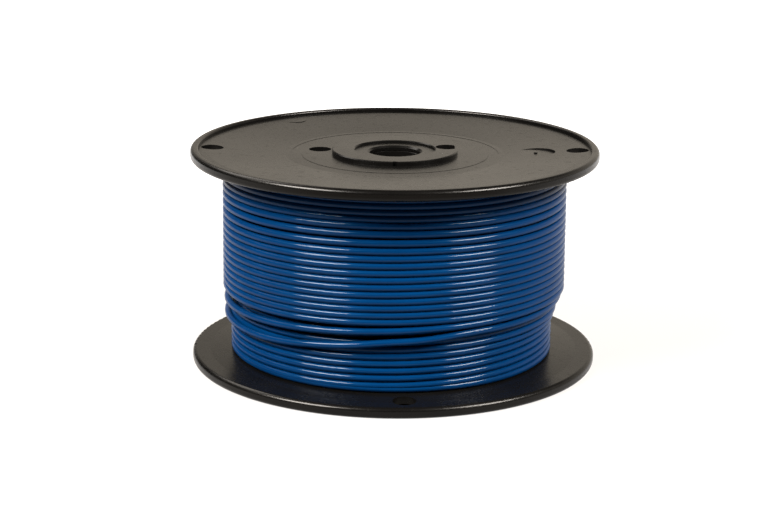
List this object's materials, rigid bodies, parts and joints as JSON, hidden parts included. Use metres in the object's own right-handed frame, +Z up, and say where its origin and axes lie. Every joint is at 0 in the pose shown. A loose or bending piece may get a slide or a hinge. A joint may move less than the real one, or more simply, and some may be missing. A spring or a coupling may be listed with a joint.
{
  "type": "wire spool",
  "caption": "Black moulded plastic spool with belled flanges and a round arbor bore, wound full of blue insulated primary wire.",
  "frame": {"origin": "on the arbor axis, in the plane that the lower flange's rim bead stands on", "axes": "+Z up along the arbor axis, through the upper flange; +X from the axis towards the upper flange's gate well"},
  "size_m": [0.127, 0.127, 0.068],
  "materials": {
    "spool_plastic": "satin moulded black polystyrene, finely scuffed, with sink marks and dust",
    "wire_insulation": "smooth glossy blue PVC",
    "copper": "bright drawn bare copper strands"
  },
  "bodies": {
    "root": {"upper_flange": "spool_plastic", "lower_flange": "spool_plastic", "barrel": "spool_plastic", "arbor_sleeve": "spool_plastic", "wire_inner_layers": "wire_insulation", "wire_outer_layers": "wire_insulation", "wire_tail": "wire_insulation", "copper_strands": "copper"}
  },
  "joints": []
}
